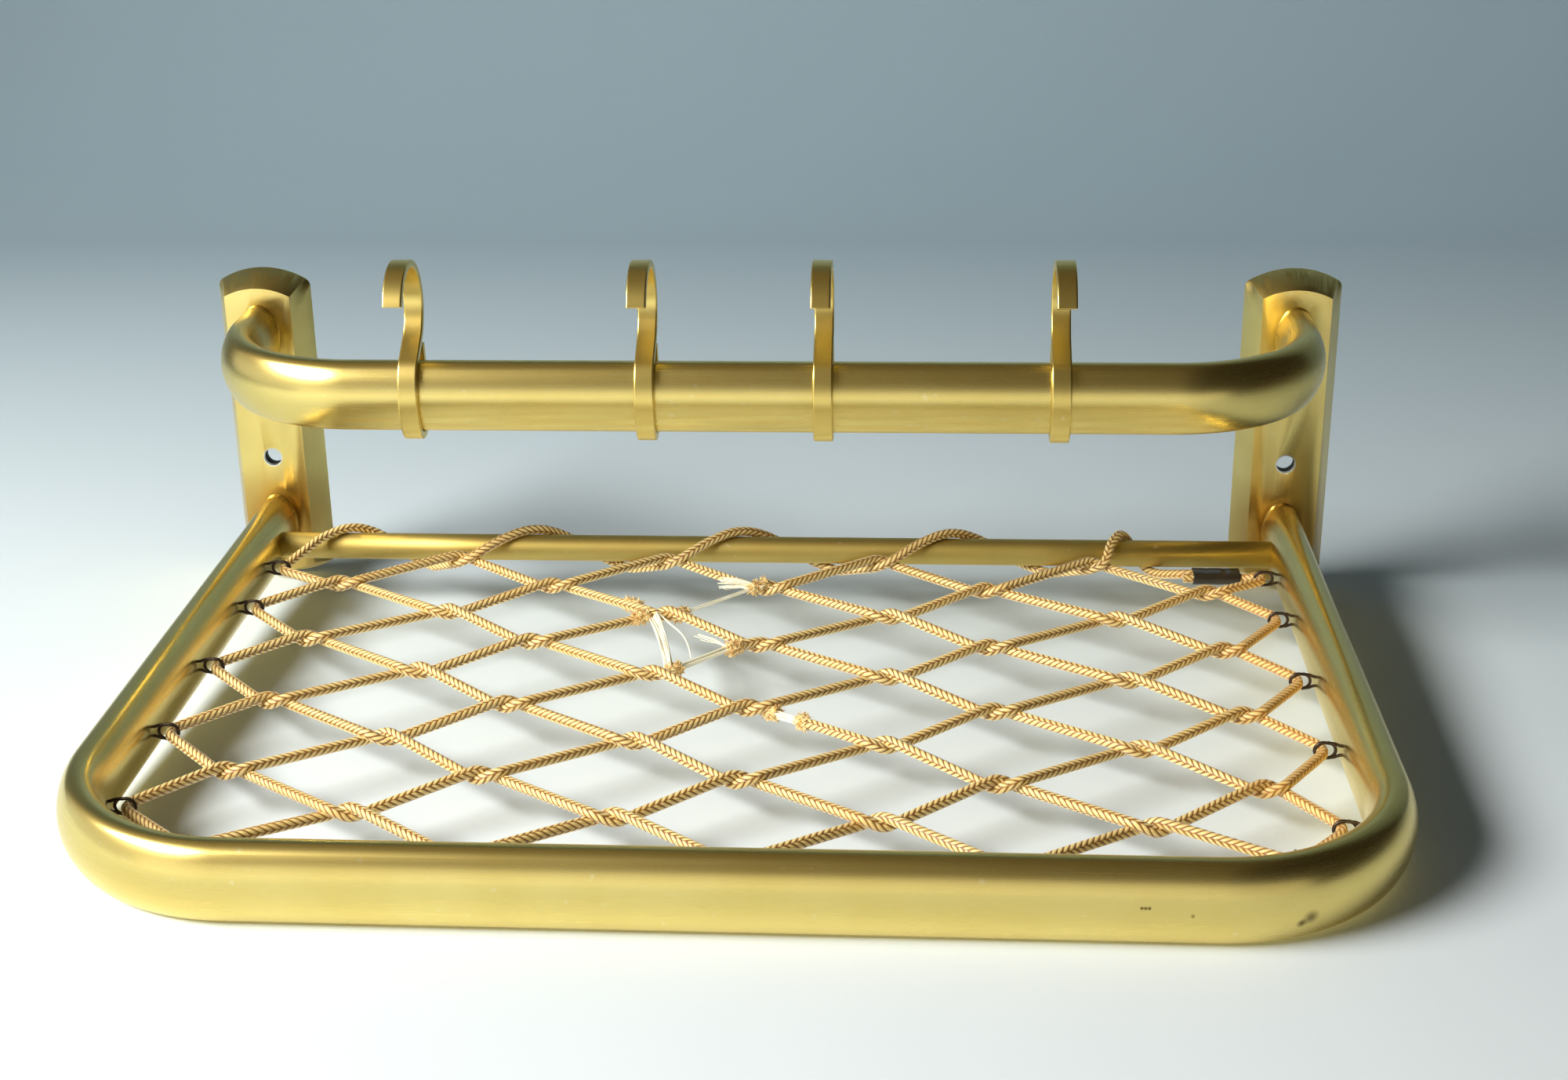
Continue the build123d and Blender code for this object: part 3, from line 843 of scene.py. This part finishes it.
# Rust from the wire eyes has stained the ends of the cords at one side.
ends = node(tree, "ShaderNodeSeparateXYZ", {0: place})
rust = node(tree, "ShaderNodeMapRange", {0: ends.outputs["X"], 1: -0.165, 2: -0.215, 4: 0.4})
for share, tint in ((soiled, "#C9923F"), (rust, "#C9832B")):
    both = {0: share, 6: yarns.outputs[2], 7: colour(tint)}
    yarns = node(tree, "ShaderNodeMix", both, data_type="RGBA")
bump = node(tree, "ShaderNodeBump", {"Height": height, "Strength": 0.5, "Distance": 0.0002})
sheen = {"Sheen Weight": 0.3, "Sheen Roughness": 0.35}
cloth = node(
    tree,
    "ShaderNodeBsdfPrincipled",
    {"Base Color": yarns.outputs[2], "Roughness": 0.45, "Normal": bump, **sheen},
)
node(tree, "ShaderNodeOutputMaterial", {"Surface": cloth})

# %% [markdown]
# ## The net itself
# Each loop is a NURBS curve through the braid tree. The result is kept as a plain mesh, and the curve
# goes.

# %% Net loops


def smooth_line(curve, points, radius=1.0):
    """Adds a NURBS line to a curve. Its order comes after its points, or it would stay at straight runs."""
    line = curve.splines.new("NURBS")
    line.points.add(len(points) - 1)
    for point, place in zip(line.points, points):
        point.co = (*(place * MM), 1.0)
        point.radius = radius
    line.order_u = 3
    line.use_endpoint_u = True


for i, (name, route) in enumerate(routes.items(), 1):
    curve = bpy.data.curves.new(f"{name}_route", "CURVE")
    curve.dimensions = "3D"
    curve.resolution_u = 8
    smooth_line(curve, route)
    mesh = shaped(new_object(curve.name, curve), braid_tree, f"braided_loop_{i}", Finish=yarn)
    fixed(new_object(mesh.name, mesh), "rack", "elastic_cord", name)

# %% [markdown]
# ## Dark metal
# Wire and sleeve are dark: oxide, lacquer and years of dirt. The insides of the screw holes are painted dark
# too, as painted shade. Such a skin is patchy, and rubbed a little brighter and smoother in places, so one
# noise drives both colour and roughness.

# %% Dark finishes


def dark_finish(name, dark, light, patch_size, gloss, metallic):
    material, tree, place = new_material(name)
    patch = node(tree, "ShaderNodeTexNoise", {"Vector": place, "Scale": 1 / patch_size, "Detail": 3.0})
    skin = node(tree, "ShaderNodeMix", {0: patch, 6: colour(dark), 7: colour(light)}, data_type="RGBA")
    rough = node(tree, "ShaderNodeMapRange", {0: patch, 3: gloss * 1.25, 4: gloss * 0.75})
    metal = node(
        tree,
        "ShaderNodeBsdfPrincipled",
        {"Base Color": skin.outputs[2], "Metallic": metallic, "Roughness": rough},
    )
    node(tree, "ShaderNodeOutputMaterial", {"Surface": metal})
    return material


dark_wire = dark_finish("steel_wire_dark_oxide", "#241C17", "#5A4A3E", 0.002, 0.4, 0.7)
dark_sleeve = dark_finish("steel_sleeve_dark_lacquer", "#241F18", "#3A3226", 0.006, 0.14, 0.0)
# The dark inside of the screw holes is painted shade.
hole_painted_shade = dark_finish("aluminium_hole_grime", "#1C1712", "#3B3124", 0.002, 0.6, 0.3)

# %% [markdown]
# ## Plunged screw holes
# A screw hole in thin sheet is often pushed through, so that its edge turns inwards as a short collar.
# In the photograph both holes are dark towards their lower edge, as such a collar would be. Each is a
# short straight sweep, gold outside like its plate, and dark inside. Solidify gives the inner wall the
# second material.

# %% Screw hole collars
COLLAR_RADIUS, COLLAR_WALL = 4.8, 0.8
COLLAR_FRONT, COLLAR_BACK = -12.75, -8.0
collar_outline = poly("collar_outline", arc((0, 0), COLLAR_RADIUS, 0, 360, 40)[:-1], closed=True)
collar_lines = [[(x, COLLAR_FRONT, 0), (x, COLLAR_BACK, 0)] for x in (-PLATE_X, PLATE_X)]
collar_path = poly("collar_path", *collar_lines)
mesh = shaped(collar_path, tube_tree, "plunged_screw_holes", Outline=collar_outline, Finish=pressed_gold)
# The inner wall's dark finish is painted shade.
mesh.materials.append(hole_painted_shade)
bpy.data.objects.remove(collar_outline)
collars = new_object(mesh.name, mesh)
add_wall(collars, COLLAR_WALL).material_offset = 1
fixed(collars, "rack", "anodised_gold")

# %% [markdown]
# ## Wire eyes, by Geometry Nodes
# Fifteen eyes of dark steel wire hold the net: a hairpin whose bend goes round the cord and whose legs
# go through the tube's wall, closed by a second arc. One wire is drawn and the tree sets it at every
# eye, turned towards its tube.

# %% Wire eye tree
eye_sockets = (
    ("Places", "Geometry"),
    ("Wire", "Object"),
    ("Radius", "Float", 0.62 * MM),
    ("Finish", "Material"),
)
eye_tree, given = new_tree("wire_eyes", "Eyes", eye_sockets)
tree = eye_tree
wire = node(tree, "GeometryNodeObjectInfo", {"Object": given["Wire"]}).outputs["Geometry"]
section = node(tree, "GeometryNodeCurvePrimitiveCircle", {"Resolution": 10, "Radius": given["Radius"]})
drawn = node(tree, "GeometryNodeCurveToMesh", {"Curve": wire, "Profile Curve": section, "Fill Caps": True})
towards = node(tree, "GeometryNodeInputNamedAttribute", {"Name": "towards"}, data_type="FLOAT_VECTOR")
turned = node(tree, "FunctionNodeAlignRotationToVector", {"Vector": towards}, axis="X", pivot_axis="Z")
eyes = node(
    tree, "GeometryNodeInstanceOnPoints", {"Points": given["Places"], "Instance": drawn, "Rotation": turned}
)
end_tree(tree, eyes, given["Finish"])

# %% Wire eyes
EYE_RADIUS, BEND_MIDDLE, CLOSING_MIDDLE = 3.1, 0.35, 1.75
HALF_LEGS, LEG_END = 1.9, 14.0
upper_leg = [(LEG_END, 0, HALF_LEGS), (6.4, 0, HALF_LEGS), (4.4, 0, 2.7)]
lower_leg = [(x, 0, -z) for x, _, z in reversed(upper_leg)]
bend = [(x, 0, z) for x, z in arc((BEND_MIDDLE, 0), EYE_RADIUS, 90, 180, 16)]
closing = [(x, 0, z) for x, z in arc((CLOSING_MIDDLE, 0), EYE_RADIUS, 90, -180, 16)]
wire_path = poly("wire_path", upper_leg + bend + lower_leg, closing)
eye_places = {}
for label, side in (("left", -1), ("right", 1)):
    for i, row in enumerate(range(0, 9, 2), 1):
        eye_places[f"net_clip_{label}_{i}"] = (side_eye(side, row), (side, 0, 0))
for i, column in enumerate(range(1, 10, 2), 1):
    eye_places[f"net_clip_front_{i}"] = (front_eye(column), (0, -1, 0))
places_mesh = bpy.data.meshes.new("eye_places")
places_mesh.from_pydata([place * MM for place, _ in eye_places.values()], [], [])
aims = places_mesh.attributes.new("towards", "FLOAT_VECTOR", "POINT")
for value, (_, direction) in zip(aims.data, eye_places.values()):
    value.vector = direction
source = new_object("eye_places", places_mesh)
mesh = shaped(source, eye_tree, "wire_eyes", Wire=wire_path, Finish=dark_wire)
bpy.data.objects.remove(wire_path)
fixed(new_object(mesh.name, mesh), "rack", "dark_wire", *eye_places)

# %% [markdown]
# ## Crimped sleeve
# The two ends of the laced cord meet side by side in a short sleeve of dark metal, pinched twice to
# hold them. It is an outline of two half circles and two flats, drawn at stations along the sleeve,
# squeezed at the pinches and opened a little at the ends.

# %% Sleeve
SLEEVE_RADIUS, SLEEVE_WALL = 2.8, 0.6
PINCHES, PINCH_WIDTH, PINCH_DEPTH = (6.0, 14.0), 1.3, 0.06
LIP_WIDTH, LIP_RISE = 0.8, 0.03
STATIONS = 40


def sleeve_outline(squeeze):
    right_half = arc((BORE.y, 0), SLEEVE_RADIUS, -90, 180, 14)
    outline = right_half + [(-y, -z) for y, z in right_half]
    return [(y * (1 + 0.25 * squeeze), z * (1 - squeeze)) for y, z in outline]


def nearness(x, middle, width):
    return math.exp(-(((x - middle) / width) ** 2))


shell = bmesh.new()
rings = []
for i in range(STATIONS + 1):
    x = SLEEVE_LENGTH * i / STATIONS
    squeeze = PINCH_DEPTH * sum(nearness(x, pinch, PINCH_WIDTH) for pinch in PINCHES)
    squeeze -= LIP_RISE * (nearness(x, 0, LIP_WIDTH) + nearness(x, SLEEVE_LENGTH, LIP_WIDTH))
    outline = sleeve_outline(squeeze)
    rings.append([shell.verts.new((SLEEVE + Vector((x, y, z))) * MM) for y, z in outline])
for ring, after in zip(rings, rings[1:]):
    for k in range(len(ring)):
        shell.faces.new((ring[k], ring[k - 1], after[k - 1], after[k]))
bmesh.ops.recalc_face_normals(shell, faces=shell.faces)
mesh = bpy.data.meshes.new("crimped_sleeve")
shell.to_mesh(mesh)
shell.free()
mesh.shade_smooth()
mesh.materials.append(dark_sleeve)
sleeve = new_object(mesh.name, mesh)
add_wall(sleeve, SLEEVE_WALL)
fixed(sleeve, "rack", "dark_sleeve", "cord_ferrule")

# %% [markdown]
# ## Bare threads
# Where the cover has torn, the core shows: threads of natural rubber, pale, dull and a little
# translucent. Two bundles still span their tears, two single threads span the third, a pulled bundle
# hangs between two crossings, and short ends stick out. Each thread is a smooth curve with a round
# bevel, and chance with a fixed seed spreads the threads of a bundle.

# %% Rubber finish
rubber, tree, place = new_material("natural_rubber_threads")
# The rubber has yellowed unevenly over some 5 mm.
age = node(tree, "ShaderNodeTexNoise", {"Vector": place, "Scale": 1 / 0.005, "Detail": 2.0})
yellowed = node(
    tree, "ShaderNodeMix", {0: age, 6: colour("#FFFDF2"), 7: colour("#F5EBC0")}, data_type="RGBA"
)
glow = {"Subsurface Weight": 0.2, "Subsurface Radius": (0.001,) * 3}
soft = node(tree, "ShaderNodeBsdfPrincipled", {"Base Color": yellowed.outputs[2], "Roughness": 0.5, **glow})
node(tree, "ShaderNodeOutputMaterial", {"Surface": soft})

# %% Threads
chance = random.Random(7)


def strewn(points, count, spread, tips):
    """Copies of a line of points, each moved a little; tips widens the spread towards the last point."""
    copies = []
    for _ in range(count):
        drift = Vector([chance.uniform(-1, 1) for _ in range(3)]) * spread
        copy = []
        for i, place in enumerate(points):
            wander = Vector([chance.uniform(-1, 1) for _ in range(3)]) * spread * 0.35
            copy.append(Vector(place) + (drift + wander) * (1 + (tips - 1) * i / (len(points) - 1)))
        copies.append(copy)
    return copies


def spanning(start, end):
    """A line from one torn end of the cover to the other, and 3 mm into each."""
    reach = (end - start).normalized() * 3
    return [start - reach, start.lerp(end, 0.5), end + reach]


def from_end(name, *steps):
    return [cores[name][0] + Vector(step) for step in steps]


tuft = from_end("net_loop_2", (-3, 0.5, 0), (2, 2, -0.6), (7, 3.6, -1.0), (13, 4.6, -0.6))
loose = from_end("net_loop_3", (1, 0, -1), (6, 3.2, -2), (9, 4.2, -2.4), (14, 8, -2))
pulled = [(45.6, -106.5, 35.4), (43.4, -115.0, 33.8), (38.8, -131.0, 32.4)]
pulled += [(34.8, -149.0, 32.4), (32.0, -164.0, 33.5)]
strand = [(41.0, -114.0, 32.6), (35.5, -126.0, 31.6), (29.5, -136.0, 31.0)]
strand += [(25.5, -147.0, 31.6), (23.5, -156.5, 33.0)]
# Each bundle: its line, then the radius of a thread, their number, their spread and the tips' spread.
bundles = (
    (spanning(*cores["net_loop_2"]), 0.34, 2, 0.7, 1.0),
    (tuft, 0.2, 34, 1.1, 2.0),
    (spanning(*cores["net_loop_3"]), 0.46, 8, 1.35, 1.0),
    (loose, 0.18, 4, 0.55, 2.4),
    (spanning(*cores["net_loop_4"]), 0.22, 30, 1.5, 1.0),
    (pulled, 0.34, 15, 1.7, 1.0),
    (strand, 0.24, 2, 0.25, 1.0),
)
curve = bpy.data.curves.new("bare_threads", "CURVE")
curve.dimensions = "3D"
curve.resolution_u = 6
curve.bevel_depth = 1.0 * MM
curve.bevel_resolution = 2
curve.use_fill_caps = True
for line, radius, *spread in bundles:
    for thread in strewn(line, *spread):
        smooth_line(curve, thread, radius)
print("threads", len(curve.splines))
mesh = plain_mesh(new_object("bare_threads_route", curve), "bare_threads")
mesh.materials.clear()
mesh.materials.append(rubber)
fixed(new_object(mesh.name, mesh), "rack", "elastic_cord")

# %% [markdown]
# ## Frayed cover, by Geometry Nodes
# At each tear the cover has rucked up into a fuzzy golden collar, and two more worn spots lie beside a
# crossing. The tree takes short stubs of route, swells each to a lumpy tube, scatters points on it with
# a fixed seed, and sets a short bent fibre on each. Most fibres lie along the cord, one way or the
# other.

# %% Frayed finish
frayed_yarn, tree, place = new_material("rayon_yarn_frayed")
# The yarns of the torn cover differ over some 1.5 mm.
mottle = node(tree, "ShaderNodeTexNoise", {"Vector": place, "Scale": 1 / 0.0015, "Detail": 2.0})
mixed_yarn = node(tree, "ShaderNodeMapRange", {0: mottle, 1: 0.35, 2: 0.65})
fuzz = node(
    tree, "ShaderNodeMix", {0: mixed_yarn, 6: colour("#E6AE52"), 7: colour("#FFF0B4")}, data_type="RGBA"
)
cloth = node(
    tree, "ShaderNodeBsdfPrincipled", {"Base Color": fuzz.outputs[2], "Roughness": 0.7, "Sheen Weight": 0.4}
)
node(tree, "ShaderNodeOutputMaterial", {"Surface": cloth})

# %% Fray tree, the lumpy tube
LUMP = 2.2 * MM
fray_sockets = (
    ("Stubs", "Geometry"),
    ("Radius", "Float", 2.25 * MM),
    ("Lumps", "Float", LUMP),
    ("Fibres", "Float", 2.4e6),
    ("Fibre Length", "Float", 1.8 * MM),
    ("Seed", "Int", 3),
    ("Finish", "Material"),
)
fray_tree, given = new_tree("frayed_cover", "Fray", fray_sockets)
tree = fray_tree
stepped = node(
    tree, "GeometryNodeResampleCurve", {"Curve": given["Stubs"], "Length": 0.4 * MM}, mode="LENGTH"
)
tangent = node(tree, "GeometryNodeInputTangent")
keep = node(tree, "GeometryNodeCaptureAttribute")
keep.capture_items.new("VECTOR", "Tangent")
tree.links.new(stepped.outputs[0], keep.inputs[0])
tree.links.new(tangent.outputs[0], keep.inputs[1])
circle = node(tree, "GeometryNodeCurvePrimitiveCircle", {"Resolution": 18, "Radius": given["Radius"]})
tube = node(tree, "GeometryNodeCurveToMesh", {"Curve": keep, "Profile Curve": circle, "Fill Caps": True})
lump = node(tree, "ShaderNodeTexNoise", {"Scale": 1 / LUMP, "Detail": 2.0})
swell = node(tree, "ShaderNodeMath", {0: lump, 1: 0.45}, operation="SUBTRACT")
depth = node(tree, "ShaderNodeMath", {0: swell, 1: given["Lumps"]}, operation="MULTIPLY")
normal = node(tree, "GeometryNodeInputNormal")
push = node(tree, "ShaderNodeVectorMath", {0: normal, 3: depth}, operation="SCALE")
lumpy = node(tree, "GeometryNodeSetPosition", {"Geometry": tube, "Offset": push})

# %% Fray tree, the fibres
seed = given["Seed"]
scattered = node(
    tree,
    "GeometryNodeDistributePointsOnFaces",
    {"Mesh": lumpy, "Density": given["Fibres"], "Seed": seed},
).outputs
bent = node(
    tree,
    "GeometryNodeCurveQuadraticBezier",
    {"Resolution": 5, "Start": (0, 0, -0.1), "Middle": (0.12, 0, 0.5), "End": (-0.1, 0.1, 1.0)},
)
hair = node(tree, "GeometryNodeCurvePrimitiveCircle", {"Resolution": 4, "Radius": 0.1})
fibre = node(tree, "GeometryNodeCurveToMesh", {"Curve": bent, "Profile Curve": hair})
stray = node(
    tree, "FunctionNodeRandomValue", {0: (-0.5,) * 3, 1: (0.5,) * 3, "Seed": seed}, data_type="FLOAT_VECTOR"
)
flip = node(tree, "FunctionNodeRandomValue", {2: -1.0, 3: 1.0, "Seed": seed}, data_type="FLOAT").outputs[1]
laid = node(tree, "ShaderNodeVectorMath", {0: keep.outputs[1], 3: flip}, operation="SCALE")
raised = node(tree, "ShaderNodeVectorMath", {0: scattered["Normal"], 3: 0.2}, operation="SCALE")
lean = node(tree, "ShaderNodeVectorMath", {0: laid, 1: raised}, operation="ADD")
aim = node(tree, "ShaderNodeVectorMath", {0: lean, 1: stray}, operation="ADD")
leaning = node(tree, "FunctionNodeAlignRotationToVector", {"Vector": aim}, axis="Z")
grow = node(tree, "FunctionNodeRandomValue", {2: 0.5, 3: 1.2, "Seed": seed}, data_type="FLOAT").outputs[1]
length = node(tree, "ShaderNodeMath", {0: grow, 1: given["Fibre Length"]}, operation="MULTIPLY")
fibres = node(
    tree,
    "GeometryNodeInstanceOnPoints",
    {"Points": scattered["Points"], "Instance": fibre, "Rotation": leaning, "Scale": length},
)
joined = node(tree, "GeometryNodeJoinGeometry")
tree.links.new(lumpy.outputs[0], joined.inputs[0])
tree.links.new(fibres.outputs[0], joined.inputs[0])
end_tree(tree, joined, given["Finish"])

# %% Frayed collars
stubs = []
for name, before, after in (("net_loop_2", 6.5, 5.0), ("net_loop_3", 5.0, 5.0), ("net_loop_4", 3.5, 6.0)):
    start, end = cores[name]
    lead = (end - start).normalized()
    stubs += [[start - lead * before, start + lead * 0.5], [end - lead * 0.5, end + lead * after]]
stubs += [[(50.5, -104.6, 33.6), (56.0, -101.2, 33.4)], [(46.0, -113.2, 33.4), (50.5, -116.0, 33.6)]]
mesh = shaped(poly("fray_stubs", *stubs), fray_tree, "frayed_cover", Finish=frayed_yarn)
fixed(new_object(mesh.name, mesh), "rack", "elastic_cord")
